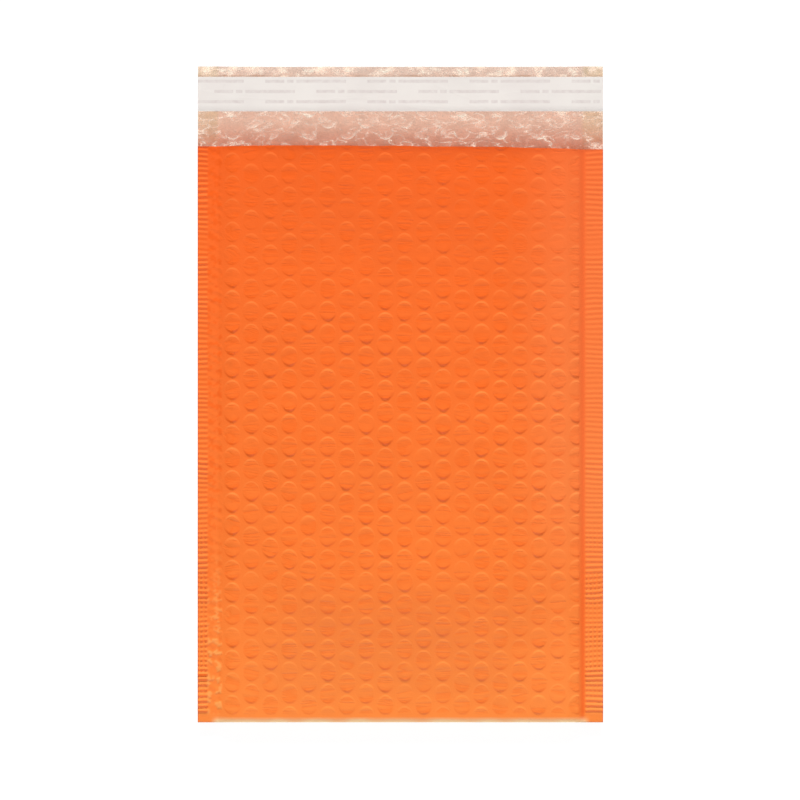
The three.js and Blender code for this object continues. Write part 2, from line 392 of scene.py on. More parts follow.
def orangeFilmMaterial():
    look = dict(
        # painted light: the film is made darker toward the mouth and lighter toward the fold, where the
        # light on the front is stronger
        mouthColour=colour(249, 103, 37),
        middleColour=colour(251, 124, 50),
        foldColour=colour(255, 139, 61),
        middleY=-82,
        deepColour=colour(232, 84, 24),     # painted shade in the groove, the hollows and along the mouth's edge; the cut edges are darker too
        paleColour=colour(255, 216, 162),   # painted highlight round the bottom fold, and paler toward the right
        highlightColour=colour(255, 214, 130),   # painted highlight on each cell's lit end and each rib's lit side
        shadeColour=colour(250, 92, 0),     # painted shade on each cell's shaded end and each rib's shaded side, also used for the cells' creases
        highlightShare=0.1, trailShare=0.5, sagShadeShare=0.24,
        roughness=0.45, gloss=0.18,
        creaseScale=420.0, creaseStretch=2.2, creaseDepth=0.000042,
        sagScale=140.0, sagStretch=7.0, sagDepth=0.00018,   # level creases in the cells' tops
    )
    material, tree, shader, place = newMaterial("orangeFilm", look["roughness"], look["gloss"])
    y = addNode(tree, "ShaderNodeSeparateXYZ", {0: place}).outputs[1]
    # painted light: darker toward the mouth, lighter toward the fold
    towardMiddle = remap(tree, y, mouthY * mm, look["middleY"] * mm)
    towardFold = remap(tree, y, look["middleY"] * mm, bottomY * mm)
    base = mixColour(tree, towardMiddle, look["mouthColour"], look["middleColour"])
    base = mixColour(tree, towardFold, base, look["foldColour"])
    base = mixColour(tree, 1.0, base, mottled(tree, place, 45.0, 0.985, 1.015), "MULTIPLY")
    # painted highlight on the lit ends of cells and ribs, painted shade on their shaded ends
    lean = meshValue(tree, "lean")
    litEnds = times(tree, lean, look["highlightShare"], clamp=True)
    shadedEnds = times(tree, lean, -look["trailShare"], clamp=True)
    base = mixColour(tree, litEnds, base, look["highlightColour"])
    base = mixColour(tree, shadedEnds, base, look["shadeColour"])
    # painted shade in the level creases of the cells' tops
    sag = creased(tree, place, look["sagScale"], look["sagStretch"], 4.0)
    sagging = times(tree, sag["Creases"], meshValue(tree, "cellTop"))
    sagShade = remap(tree, sagging, 0.45, 1.0, 0.0, look["sagShadeShare"])
    base = mixColour(tree, sagShade, base, look["shadeColour"])
    # painted shade in the groove and hollows and along the mouth's edge; the cut edges are darker too
    base = mixColour(tree, meshValue(tree, "darkMarks"), base, look["deepColour"])
    # painted highlight round the bottom fold, and paler toward the right
    base = mixColour(tree, meshValue(tree, "paled"), base, look["paleColour"])
    tree.links.new(base, shader.inputs["Base Color"])
    fine = creased(tree, place, look["creaseScale"], look["creaseStretch"], 5.0)
    sagHeight = times(tree, sagging, look["sagDepth"] / look["creaseDepth"])
    bumpFrom(tree, shader, minus(tree, fine["Height"], sagHeight), look["creaseDepth"])
    return material


def innerFilmMaterial():
    look = dict(
        mouthColour=colour(196, 90, 38),
        flapColour=colour(228, 178, 153),
        edgeColour=colour(224, 197, 181),
        mouthShade=(1, 13),                 # painted shade near the mouth: where it starts and ends, from the mouth
        sealTint=(0.9, 0.95, 0.79, 1),      # pressed films let more orange through
        rimTint=(0.66, 0.52, 0.42, 1),      # a darker line along the liner's upper edge
        rimOffset=0.5, rimWidth=0.9,
        deepShare=0.14, roughness=0.5, creaseScale=260.0, creaseDepth=0.00012,
    )
    material, tree, shader, place = newMaterial("orangeFilmInside", look["roughness"])
    x, y = addNode(tree, "ShaderNodeSeparateXYZ", {0: place}).outputs[:2]
    # painted shade: darker and more orange toward the mouth and inside the pocket
    shadeStart, shadeEnd = [(mouthY + reach) * mm for reach in look["mouthShade"]]
    outOfMouth = remap(tree, y, shadeStart, shadeEnd)
    towardEdge = remap(tree, y, shadeEnd, flapEndY * mm)
    base = mixColour(tree, outOfMouth, look["mouthColour"], look["flapColour"])
    base = mixColour(tree, towardEdge, base, look["edgeColour"])
    side = maths(tree, "ABSOLUTE", x)
    sealed = remap(tree, side, (sealInnerEdge - 1) * mm, (sealInnerEdge + 1) * mm)
    base = mixColour(tree, sealed, base, mixColour(tree, 1.0, base, look["sealTint"], "MULTIPLY"))
    patches = mottled(tree, place, 140.0, 1 - look["deepShare"], 1.03)
    base = mixColour(tree, 1.0, base, patches, "MULTIPLY")
    rimY = (linerHigh[1] + look["rimOffset"]) * mm
    fromRim = maths(tree, "ABSOLUTE", minus(tree, y, rimY))
    rim = remap(tree, fromRim, look["rimWidth"] * mm, 0.4 * mm)
    rim = times(tree, rim, mottled(tree, place, 90.0, -0.2, 1.2), clamp=True)
    base = mixColour(tree, rim, base, mixColour(tree, 1.0, base, look["rimTint"], "MULTIPLY"))
    tree.links.new(base, shader.inputs["Base Color"])
    marks = creased(tree, place, look["creaseScale"], 1.5, 4.0)
    bumpFrom(tree, shader, marks["Height"], look["creaseDepth"])
    return material


def clearFilmMaterial(name, look):
    material, tree, shader, place = newMaterial(name, look["roughness"])
    marks = creased(tree, place, look["creaseScale"], look["creaseStretch"], look["sharpness"])
    glints = mottled(tree, place, 230.0, -0.25, 1.15)
    # painted highlights: glints on the cell walls and creases, which also make the film less clear
    # there
    wall = times(tree, meshValue(tree, "wall"), look["wallGlint"])
    paintedGlints = times(tree, marks["Creases"], look["creaseGlint"])
    paintedGlints = times(tree, plus(tree, wall, paintedGlints), glints, clamp=True)
    base = mixColour(tree, paintedGlints, look["filmColour"], look["glintColour"])
    tree.links.new(base, shader.inputs["Base Color"])
    facing = addNode(tree, "ShaderNodeLayerWeight", {"Blend": 0.35}).outputs["Facing"]
    rim = times(tree, facing, look["edgeHaze"])
    alpha = plus(tree, plus(tree, paintedGlints, rim), look["clearHaze"], clamp=True)
    tree.links.new(alpha, shader.inputs["Alpha"])
    bumpFrom(tree, shader, marks["Height"], look["creaseDepth"])
    return material


def adhesiveMaterial():
    look = dict(
        paleColour=colour(236, 224, 190), deepColour=colour(214, 190, 140),
        thinAlpha=0.55, thickAlpha=0.8,
        roughness=0.3, patchScale=150.0, bumpDepth=0.0001,
    )
    material, tree, shader, place = newMaterial("hotMelt", look["roughness"])
    patches = mottled(tree, place, look["patchScale"])
    base = mixColour(tree, patches, look["paleColour"], look["deepColour"])
    tree.links.new(base, shader.inputs["Base Color"])
    alpha = remap(tree, patches, 0.0, 1.0, look["thinAlpha"], look["thickAlpha"])
    tree.links.new(alpha, shader.inputs["Alpha"])
    bumpFrom(tree, shader, patches, look["bumpDepth"])
    return material


def linerMaterial():
    look = dict(
        paper=colour(243, 237, 231), shade=colour(236, 228, 223), dash=colour(222, 211, 207),
        rowPitch=5.05, firstRow=144.55,     # three rows of plain dashes
        dashHeight=1.5, dashBlur=0.03, phrase=50.4, firstPhrase=-66.7, phraseShare=0.79,
        gaps=(0.2, 0.29), gapShare=0.014, roughness=0.45, creaseScale=70.0, creaseDepth=0.00006,
    )
    material, tree, shader, place = newMaterial("linerPaper", look["roughness"])
    base = mixColour(tree, mottled(tree, place, 35.0), look["paper"], look["shade"])
    x, y = addNode(tree, "ShaderNodeSeparateXYZ", {0: place}).outputs[:2]
    rows = maths(tree, "DIVIDE", minus(tree, y, look["firstRow"] * mm), look["rowPitch"] * mm)
    nearest = maths(tree, "ROUND", rows)
    away = maths(tree, "ABSOLUTE", minus(tree, rows, nearest))
    half = look["dashHeight"] / look["rowPitch"] / 2
    mask = remap(tree, away, half + look["dashBlur"], half - look["dashBlur"])
    along = maths(tree, "DIVIDE", minus(tree, x, look["firstPhrase"] * mm), look["phrase"] * mm)
    along = maths(tree, "FRACT", plus(tree, along, times(tree, nearest, 0.5)))
    mask = times(tree, mask, maths(tree, "LESS_THAN", along, look["phraseShare"]))
    for gap in look["gaps"]:
        inputs = {0: along, 1: gap, 2: look["gapShare"]}
        inGap = addNode(tree, "ShaderNodeMath", inputs, operation="COMPARE").outputs[0]
        mask = times(tree, mask, minus(tree, 1.0, inGap))
    ink = mottled(tree, place, 400.0, 0.3, 1.0)
    base = mixColour(tree, times(tree, mask, ink), base, look["dash"])
    tree.links.new(base, shader.inputs["Base Color"])
    marks = creased(tree, place, look["creaseScale"], 4.0, 8.0)
    bumpFrom(tree, shader, marks["Height"], look["creaseDepth"])
    return material


orangeFilm = orangeFilmMaterial()
orangeInside = innerFilmMaterial()
# glint colour and shares paint highlights on the clear films' cell walls and creases
cellFilm = clearFilmMaterial("clearCellFilm", dict(
    filmColour=colour(240, 214, 198), glintColour=colour(250, 240, 232), clearHaze=0.03, creaseGlint=0.1,
    wallGlint=0.2, edgeHaze=0.14, roughness=0.2, creaseScale=260.0, creaseStretch=2.0, sharpness=10.0,
    creaseDepth=0.0001))
liningFilm = clearFilmMaterial("clearLining", dict(
    filmColour=colour(248, 226, 210), glintColour=colour(255, 240, 220), clearHaze=0.05, creaseGlint=0.8,
    wallGlint=1.0, edgeHaze=0.14, roughness=0.16, creaseScale=210.0, creaseStretch=2.4, sharpness=34.0,
    creaseDepth=0.0001))
hotMelt = adhesiveMaterial()
linerPaper = linerMaterial()
print("materials made")


# Field of air cells

cells = dict(
    columnPitch=9.437,      # across the web
    rowPitch=11.074,        # along it; each second column is half a pitch further on
    firstColumn=-82.87,
    columns=19,
    frontRow=320.66,        # run of a row's middle, at the start of the fold
    flapRow=9.1,            # and of the second row on the flap
    elongation=1.11,        # along the web
    fieldEnd=88.0,          # the last column runs into the seal's edge
)
fieldStart = cells["firstColumn"] - cells["columnPitch"] / 2
ringCount = 6  # rings of faces in each cell's tile, out to its rectangular border


def makeCellFieldTree():
    # rectangular tiles side by side, each with a round cell pressed up in it
    number, whole = "Float", "Int"
    tree, given, out = newGroup(
        "cellField", "GeometryNodeTree",
        [("Columns", whole, 19), ("Rows", whole, 27), ("Ring Points", whole, 24),
         ("Column Pitch", number, 9.45), ("Row Pitch", number, 11.12),
         ("First Column", number, 0.0), ("First Row", number, 0.0),
         ("Foot Radius", number, 4.5), ("Elongation", number, 1.1), ("Wall Width", number, 0.5),
         ("Ridge Height", number, 0.2), ("Dish Height", number, 0.15), ("Side Share", number, 1.0),
         ("Height Spread", number, 0.3), ("Wander", number, 0.1), ("Crumple", number, 0.02),
         ("Seed", whole, 1), ("Material", "Material", None)],
        [("Geometry", "Geometry")])

    # where each cell goes
    index = tree.nodes.new("GeometryNodeInputIndex").outputs[0]
    column = maths(tree, "MODULO", index, given["Columns"])
    row = maths(tree, "FLOOR", maths(tree, "DIVIDE", index, given["Columns"]))
    offset = times(tree, maths(tree, "MODULO", column, 2.0), 0.5)
    x = maths(tree, "MULTIPLY_ADD", column, given["Column Pitch"])
    tree.links.new(given["First Column"], x.node.inputs[2])
    run = maths(tree, "MULTIPLY_ADD", plus(tree, row, offset), given["Row Pitch"])
    tree.links.new(given["First Row"], run.node.inputs[2])
    spot = addNode(tree, "ShaderNodeCombineXYZ", {0: x, 1: run})
    count = times(tree, given["Columns"], given["Rows"])
    points = addNode(tree, "GeometryNodePoints", {"Count": count, "Position": spot.outputs[0]})

    # one tile, from a cone whose height counts its rings
    cone = addNode(tree, "GeometryNodeMeshCone", {
        "Vertices": given["Ring Points"], "Side Segments": ringCount, "Radius Top": 0.0,
        "Radius Bottom": 1.0, "Depth": float(ringCount)}, fill_type="NONE")
    apart = addNode(tree, "ShaderNodeSeparateXYZ", {
        0: tree.nodes.new("GeometryNodeInputPosition").outputs[0]})
    ring = maths(tree, "ROUND", minus(tree, float(ringCount), apart.outputs[2]))
    turn = maths(tree, "ARCTAN2", apart.outputs[1], apart.outputs[0])
    foot, wall = given["Foot Radius"], given["Wall Width"]

    def byRing(values):
        switch = addNode(tree, "GeometryNodeIndexSwitch", data_type="FLOAT")
        while len(switch.index_switch_items) < len(values):
            switch.index_switch_items.new()
        for slot, value in enumerate([ring] + values):
            if isinstance(value, bpy.types.NodeSocket):
                tree.links.new(value, switch.inputs[slot])
            else:
                switch.inputs[slot].default_value = value
        return switch.outputs[0]

    radius = byRing([
        0.0, times(tree, foot, 0.4), minus(tree, foot, wall),
        minus(tree, foot, times(tree, wall, 0.7)),
        minus(tree, foot, times(tree, wall, 0.3)), foot, 0.0])
    ridge, dish = given["Ridge Height"], given["Dish Height"]
    height = byRing([
        dish, plus(tree, times(tree, dish, 0.7), times(tree, ridge, 0.3)), ridge,
        times(tree, ridge, 0.83), times(tree, ridge, 0.17), 0.0, 0.0])
    endways = maths(tree, "SINE", turn)
    upright = times(tree, endways, endways)
    sideways = minus(tree, 1.0, upright)
    lower = times(tree, minus(tree, 1.0, given["Side Share"]), sideways)
    lower = times(tree, lower, byRing([0.0, 0.3, 1.0, 1.0, 1.0, 0.0, 0.0]))
    height = times(tree, height, minus(tree, 1.0, lower))
    inner = byRing([1.0, 1.0, 1.0, 1.0, 1.0, 1.0, 0.0])
    top = byRing([1.0, 1.0, 1.0, 0.7, 0.3, 0.0, 0.0])
    wallShare = byRing([0.0, 0.0, 0.4, 1.0, 1.0, 0.0, 0.0])

    def squareSide(angle):
        # 1 along one side of the border, -1 along the opposite side, level between
        sharp = minus(tree, 2.0, maths(tree, "DIVIDE", maths(tree, "ABSOLUTE", angle), math.pi / 4))
        return addNode(tree, "ShaderNodeClamp", {0: sharp, 1: -1.0, 2: 1.0}).outputs[0]

    quarterBack = addNode(tree, "ShaderNodeMath", {
        0: minus(tree, turn, math.pi / 2), 1: math.pi, 2: -math.pi}, operation="WRAP").outputs[0]
    borderX = times(tree, squareSide(turn), times(tree, given["Column Pitch"], 0.5))
    borderY = times(tree, squareSide(quarterBack), times(tree, given["Row Pitch"], 0.5))
    outside = minus(tree, 1.0, inner)

    def tilePlace(wave, reach, border):
        ringPlace = times(tree, reach, maths(tree, wave, turn))
        return plus(tree, ringPlace, times(tree, border, outside))

    tall = times(tree, radius, given["Elongation"])
    place = addNode(tree, "ShaderNodeCombineXYZ", {
        0: tilePlace("COSINE", radius, borderX), 1: tilePlace("SINE", tall, borderY), 2: height})
    # walls catch the light at the cell's leading end more than at its sides; the wall mark paints that
    # highlight, and lean paints highlight at the leading end and shade at the trailing end
    arc = minus(tree, 0.5, times(tree, sideways, 0.45))
    arc = plus(tree, times(tree, endways, 0.5), arc, clamp=True)
    tilt = times(tree, endways, maths(tree, "ABSOLUTE", endways))
    wall, lean = times(tree, wallShare, arc), times(tree, wallShare, tilt)
    marked = cone.outputs["Mesh"]
    for label, value in (("cellTop", top), ("wall", wall), ("lean", lean)):
        inputs = {"Geometry": marked, "Name": label, "Value": value}
        marked = addNode(tree, "GeometryNodeStoreNamedAttribute", inputs,
                         data_type="FLOAT", domain="POINT").outputs[0]
    tile = addNode(tree, "GeometryNodeSetPosition", {"Geometry": marked, "Position": place.outputs[0]})

    # a tile at each point, each cell pressed up a little more or less
    lift = addNode(tree, "FunctionNodeRandomValue", {
        2: minus(tree, 1.0, given["Height Spread"]),
        3: plus(tree, 1.0, given["Height Spread"]), 8: given["Seed"]}, data_type="FLOAT").outputs[1]
    size = addNode(tree, "ShaderNodeCombineXYZ", {0: 1.0, 1: 1.0, 2: lift})
    placed = addNode(tree, "GeometryNodeInstanceOnPoints", {
        "Points": points.outputs[0], "Instance": tile.outputs[0], "Scale": size.outputs[0]})
    real = addNode(tree, "GeometryNodeRealizeInstances", {"Geometry": placed.outputs[0]})
    joined = addNode(tree, "GeometryNodeMergeByDistance", {
        "Geometry": real.outputs[0], "Distance": 0.02})

    # uneven rings and faintly crumpled tops
    stay = addNode(tree, "GeometryNodeInputNamedAttribute", {"Name": "cellTop"},
                   data_type="FLOAT").outputs[0]
    where = addNode(tree, "ShaderNodeVectorMath", {
        0: tree.nodes.new("GeometryNodeInputPosition").outputs[0], 1: (0.5, 1.0, 1.0)},
        operation="MULTIPLY").outputs[0]
    noise = addNode(tree, "ShaderNodeTexNoise", {
        "Vector": where, "W": times(tree, given["Seed"], 7.3), "Scale": 0.45, "Detail": 2.0},
        noise_dimensions="4D")
    drift = addNode(tree, "ShaderNodeVectorMath", {0: noise.outputs["Color"], 1: (0.5, 0.5, 0.5)},
                    operation="SUBTRACT")
    reach = times(tree, times(tree, given["Wander"], 4.0), stay)
    rise = times(tree, times(tree, given["Crumple"], 4.0), stay)
    amounts = addNode(tree, "ShaderNodeCombineXYZ", {0: reach, 1: reach, 2: rise})
    shift = addNode(tree, "ShaderNodeVectorMath", {0: drift.outputs[0], 1: amounts.outputs[0]},
                    operation="MULTIPLY")
    uneven = addNode(tree, "GeometryNodeSetPosition", {
        "Geometry": joined.outputs[0], "Offset": shift.outputs[0]})
    done = addNode(tree, "GeometryNodeSetMaterial", {
        "Geometry": uneven.outputs[0], "Material": given["Material"]})
    tree.links.new(done.outputs[0], out["Geometry"])
    return tree


cellFieldTree = makeCellFieldTree()


def addObject(name, data):
    thing = bpy.data.objects.new(name, data)
    bpy.context.scene.collection.objects.link(thing)
    return thing


def growField(low, high, rows, firstRow, material, seed, shape, extraColumns=0, ringPoints=24):
    # the field as a plain mesh on the flat web, cut to a rectangle, with lines for the bends
    sizes = {
        "Columns": cells["columns"] + 2 * extraColumns, "Rows": rows, "Ring Points": ringPoints,
        "Column Pitch": cells["columnPitch"], "Row Pitch": cells["rowPitch"],
        "First Column": cells["firstColumn"] - extraColumns * cells["columnPitch"],
        "First Row": firstRow, "Seed": seed, "Material": material, "Elongation": cells["elongation"]}
    for label in ("Foot Radius", "Wall Width", "Ridge Height", "Dish Height", "Side Share",
                  "Height Spread", "Wander", "Crumple"):
        sizes[label] = shape[label[0].lower() + label[1:].replace(" ", "")]
    carrier = addObject("fieldCarrier", bpy.data.meshes.new("fieldCarrier"))
    modifier = carrier.modifiers.new("cellField", "NODES")
    modifier.node_group = cellFieldTree
    sockets = {item.name: item.identifier for item in cellFieldTree.interface.items_tree
               if item.in_out == "INPUT"}
    for label, value in sizes.items():
        modifier[sockets[label]] = value
    bpy.context.view_layer.update()
    grown = carrier.evaluated_get(bpy.context.evaluated_depsgraph_get())
    mesh = bpy.data.meshes.new_from_object(grown)
    bpy.data.objects.remove(carrier)

    work = bmesh.new()
    work.from_mesh(mesh)
    bpy.data.meshes.remove(mesh)
    for side, normal in ((low, -1), (high, 1)):
        for axis in (0, 1):
            place, facing = [0, 0, 0], [0, 0, 0]
            place[axis], facing[axis] = side[axis], normal
            everything = work.verts[:] + work.edges[:] + work.faces[:]
            bmesh.ops.bisect_plane(work, geom=everything, dist=snapReach / 2, plane_co=place,
                                   plane_no=facing, clear_outer=True)
    bends = [(1, backRun + foldRun * (step + 1) / foldSteps) for step in range(foldSteps)]
    if extraColumns:
        edge = sealInnerEdge
        bends += [(0, place) for place in (-edge, 4 - edge, 8 - edge, edge - 8, edge - 4, edge)]
    for axis, place in bends:
        if not low[axis] < place < high[axis]:
            continue
        near = []
        for face in work.faces:
            reach = [v.co[axis] for v in face.verts]
            if min(reach) < place < max(reach):
                near.append(face)
        edges = {e for f in near for e in f.edges}
        verts = {v for f in near for v in f.verts}
        line, normal = [0, 0, 0], [0, 0, 0]
        line[axis], normal[axis] = place, 1
        bmesh.ops.bisect_plane(work, geom=list(verts) + list(edges) + near, dist=snapReach / 2,
                               plane_co=line, plane_no=normal)
    points = np.array([v.co[:] for v in work.verts])
    marks = {}
    for label in ("cellTop", "wall", "lean"):
        layer = work.verts.layers.float[label]
        marks[label] = np.array([v[layer] for v in work.verts])
    work.verts.index_update()
    faces = [tuple(v.index for v in f.verts) for f in work.faces]
    work.free()
    for axis in (0, 1):
        for edge in (low[axis], high[axis]):
            points[np.abs(points[:, axis] - edge) < snapReach, axis] = edge
    return points, faces, marks


def spread(values, count):
    # a field's values, with zero for the points that are added after it
    return np.concatenate([values, np.zeros(count - len(values))])


def makePiece(name, points, faces, materials, insideFrom=None, marks=None):
    # a closed mesh in metres, its faces turned outwards and its flat faces shaded flat
    mesh = bpy.data.meshes.new(name)
    mesh.from_pydata((points * mm).tolist(), [], faces)
    for label, values in (marks or {}).items():
        layer = mesh.attributes.new(label, "FLOAT", "POINT")
        layer.data.foreach_set("value", values.astype(np.float32))
    for material in materials:
        mesh.materials.append(material)
    if insideFrom is not None:
        sides = (np.arange(len(faces)) >= insideFrom).astype(np.int32)
        mesh.polygons.foreach_set("material_index", sides)
    work = bmesh.new()
    work.from_mesh(mesh)
    if work.calc_volume(signed=True) < 0:
        bmesh.ops.reverse_faces(work, faces=work.faces[:])
    for face in work.faces:
        face.smooth = True
    work.to_mesh(mesh)
    work.free()
    mesh.set_sharp_from_angle(angle=math.radians(55))
    piece = addObject(name, mesh)
    flats = piece.modifiers.new("flats", "WEIGHTED_NORMAL")
    flats.keep_sharp = True
    evaluated = piece.evaluated_get(bpy.context.evaluated_depsgraph_get())
    finished = bpy.data.meshes.new_from_object(evaluated)
    piece.modifiers.remove(flats)
    piece.data = finished
    finished.name = name
    bpy.data.meshes.remove(mesh)
    triangles = sum(len(face.vertices) - 2 for face in finished.polygons)
    print(name, "has", triangles, "triangles")
    return piece


# Outer film, in a back and a front half that meet at the bottom fold

outerFilm = dict(
    filmThickness=0.1,
    reliefRoom=0.24,        # how far the film lies in between the cells
    sealRoom=0.14,
    footRadius=4.7, wallWidth=1.2, ridgeHeight=0.46, dishHeight=0.24, sideShare=0.35,
    heightSpread=0.3, wander=0.34, crumple=0.07,
    backShare=0.6,          # of the relief, where the back lies on the table
    mouthShare=0.6, mouthReach=100, lowShare=0.8, lowReach=110,
    rightPaleness=0.06, lipShade=0.45,
)
seal = dict(
    ribPitch=2.45, ribDrift=0.45, driftLength=26,
    lowReach=150,           # how far the pattern of the lower half reaches from the fold
    ribEnd=-94.9,           # the ribs stop short of the inner edge on the left
    leftRib=0.24, rightRib=0.125, lowRib=0.21,  # the last is added toward the fold
    knurlMiddle=98.1, knurlPitch=2.1, knurlLength=16,
    crinkleHeight=0.07, crinkleLength=3.4,
    gatherHeight=0.3, gatherLength=5.5, gatherLean=2.4, gatherReach=95,
    grooveMiddle=90.2, grooveWidth=1.1, grooveDepth=0.03, grooveShade=0.5,
    edgeDepth=0.8,          # how deep the colour is at the cut edges
)


def ribPhase(x, run):
    drift = seal["ribDrift"] * ripple(x, run, 21, seal["driftLength"])
    return 2 * math.pi * (run + drift) / seal["ribPitch"]


def sealRelief(x, run):
    # ribs and knurled dots of the heated bar, with a crinkled strip on the left
    # Lean is how far the film faces the mouth, which paints highlight and shade on the ribs and
    # gathers, and darkening is painted shade in the groove and hollows, with darker cut edges.
    low = smooth((frontRun + seal["lowReach"] - run) / 110) * (run > backRun)
    phase = ribPhase(x, run)
    ribs = 0.5 + 0.5 * np.sin(phase)
    knurl = 0.5 + 0.5 * np.cos(2 * math.pi * (np.abs(x) - seal["knurlMiddle"]) / seal["knurlPitch"])
    knurled = low * smooth(0.6 + 0.9 * ripple(0 * x, run, 22, seal["knurlLength"]))
    strength = 0.75 + 0.25 * ripple(0 * x, run, 26, seal["knurlLength"])
    onLeft = smooth((seal["ribEnd"] + 0.3 - x) / 0.9)
    onRight = smooth((x - seal["grooveMiddle"] - 0.7) / 0.8)
    reach = onLeft * seal["leftRib"] + onRight * seal["rightRib"]
    reach = (reach + low * seal["lowRib"] * (onLeft + onRight)) * strength
    reach = reach * (1 - knurled * (1 - knurl))
    height = 2 * reach * ribs
    # painted highlight on the ribs' lit sides and painted shade on their other sides
    lean = -np.cos(phase) * np.clip(reach / 0.2, 0, 1.2)
    zone = smooth((x - seal["ribEnd"] + 0.8) / 1.2) * smooth((-87.4 - x) / 1.2) * (x < 0)
    crinkle = ripple(x, run, 23, seal["crinkleLength"], 1.3)
    patches = ripple(x, run, 25, seal["gatherLength"], 1.2) + 0.6 * ripple(x, run, 29, 2.6, 1.0, 18)
    gathers = smooth(1.5 * patches - 0.3) * smooth((frontRun + seal["gatherReach"] - run) / 60) * low
    crinkled = np.maximum(seal["crinkleHeight"] * (0.6 + crinkle), -0.05)
    height = height + zone * (crinkled + seal["gatherHeight"] * gathers)
    groove = np.exp(-((x - seal["grooveMiddle"]) / seal["grooveWidth"]) ** 2)
    height = height - seal["grooveDepth"] * groove
    hollows = zone * smooth(-1.2 * patches - 0.1) * (1 - 0.7 * low)
    # painted shade in the groove and hollows, painted highlight on the gathers
    lean = lean - 0.8 * groove - 0.7 * hollows + seal["gatherLean"] * zone * gathers
    ramp = smooth((x - seal["grooveMiddle"] + 3.4) / 3.2)
    ramp = ramp * smooth((seal["grooveMiddle"] + 0.9 - x) / 0.6)
    cutEdge = smooth((np.abs(x) - halfWidth + 0.3) / 0.3)
    # painted shade in the groove and hollows; the cut edges are darker too
    darkening = seal["grooveShade"] * ramp + 0.15 * hollows + seal["edgeDepth"] * cutEdge
    return height, lean, darkening


def foldHighlight(x, run):
    # painted highlight: the film is made pale where it is bent sharply round the bottom
    turned = (run - backRun) / foldRun
    place = np.clip((1 - turned) / 0.22, 0, 1) * smooth((turned - 0.2) / 0.2)
    patchy = 0.9 + 0.15 * ripple(x, run, 31, 14)
    return place * patchy * smooth((halfWidth - 6 - np.abs(x)) / 4)


def makeOuterFilm(name, start, end, rows, firstRow, rowStep, columnStep):
    low, high = (fieldStart, start), (cells["fieldEnd"], end)
    points, faces, marks = growField(low, high, rows, firstRow, orangeFilm, 5, outerFilm)
    sheet = FlatSheet()
    sheet.add(points, faces)
    fieldLeft = sheet.chainAt(0, low[0])
    fieldRight = sheet.chainAt(0, high[0])
    runs = spaced(start, rowStep, end)
    leftStrip = sheet.addGrid(
        spaced(-halfWidth, columnStep, seal["ribEnd"] + 0.3, 0.66, fieldStart - 0.45), runs)
    rightStrip = sheet.addGrid(spaced(cells["fieldEnd"] + 0.4, 0.6, 92, columnStep, halfWidth), runs)
    sheet.zipChains(leftStrip[:, -1], fieldLeft, runs, sheet.points[fieldLeft, 1])
    sheet.zipChains(fieldRight, rightStrip[:, 0], sheet.points[fieldRight, 1], runs)
    low, high = (-halfWidth, start), (halfWidth, end)
    inside = spaced(-halfWidth, 4, -90, 2, -80, 3.2, 80, 2, 90, 4, halfWidth)
    front, outerFaces = sheet.close(low, high, inside, plainRuns(start, end, 6))

    x, run, height = sheet.points.T
    count = len(x)
    inField = spread(np.ones(len(points)), count)
    sealHeight, sealLean, darkening = sealRelief(x, run)
    offFold = 1 - smooth(1 - np.maximum(run - frontRun, backRun - run) / 2.5)
    nearMouth = smooth((run - webRun + outerFilm["mouthReach"]) / 60)
    nearFold = smooth((frontRun + outerFilm["lowReach"] - run) / 60)
    share = 1 - (1 - outerFilm["mouthShare"]) * nearMouth - (1 - outerFilm["lowShare"]) * nearFold
    share = np.where(run > backRun, share, outerFilm["backShare"])
    share = share * offFold * np.clip(0.95 + 0.2 * ripple(x, run, 61, 16), 0.4, 1.4)
    height = height * inField * share + sealHeight * (1 - inField) * offFold
    # lean paints highlight and shade on the ends of the cells and ribs
    lean = spread(marks["lean"], count) * share + sealLean * (1 - inField) * offFold
    press = smooth((sealInnerEdge + 1 - np.abs(x)) / web["shoulderWidth"])
    room = outerFilm["sealRoom"] + (outerFilm["reliefRoom"] - outerFilm["sealRoom"]) * press
    depth = room - height
    depth[front:] = (room + outerFilm["filmThickness"])[front:]
    # painted shade along the mouth's edge
    mouthLine = smooth((run - webRun + 4) / 4)
    rightSide = smooth((x - 48) / 38) * smooth((run - frontRun) / 10) * (1 - 0.7 * nearFold)
    # painted highlight round the fold, and paler toward the right side
    paled = outerFilm["rightPaleness"] * rightSide + foldHighlight(x, run)
    values = {
        "cellTop": spread(marks["cellTop"], count) * offFold,
        "lean": lean,
        "paled": np.clip(paled, 0, 1),
        "darkMarks": np.clip(darkening + outerFilm["lipShade"] * mouthLine, 0, 1),
    }
    place = foldWeb(x, run, depth)
    return makePiece(name, place, sheet.faces, [orangeFilm, orangeInside], outerFaces, values)


backRows = 30
frontRows = 27
backFirstRow = cells["flapRow"] - cells["rowPitch"]
frontFilm = makeOuterFilm("outerFilmFront", backRun, webRun, frontRows, cells["frontRow"], 0.49, 0.53)
backFilm = makeOuterFilm("outerFilmBack", 0.0, backRun, backRows, backFirstRow, 0.5, 0.8)
print("outer film made")


# Air cells: the formed film with the air sealed in it, flat towards the lining

airCells = dict(
    footRadius=4.5, wallWidth=0.9, ridgeHeight=1.0, dishHeight=1.0, sideShare=1.0,
    heightSpread=0.0, wander=0.1, crumple=0.0,
    landThickness=0.04, crownDepth=0.42,
    sideInset=0.15, mouthInset=0.1, liningRoom=0.2,
)
sealColumns = 2  # cells flattened into each seal


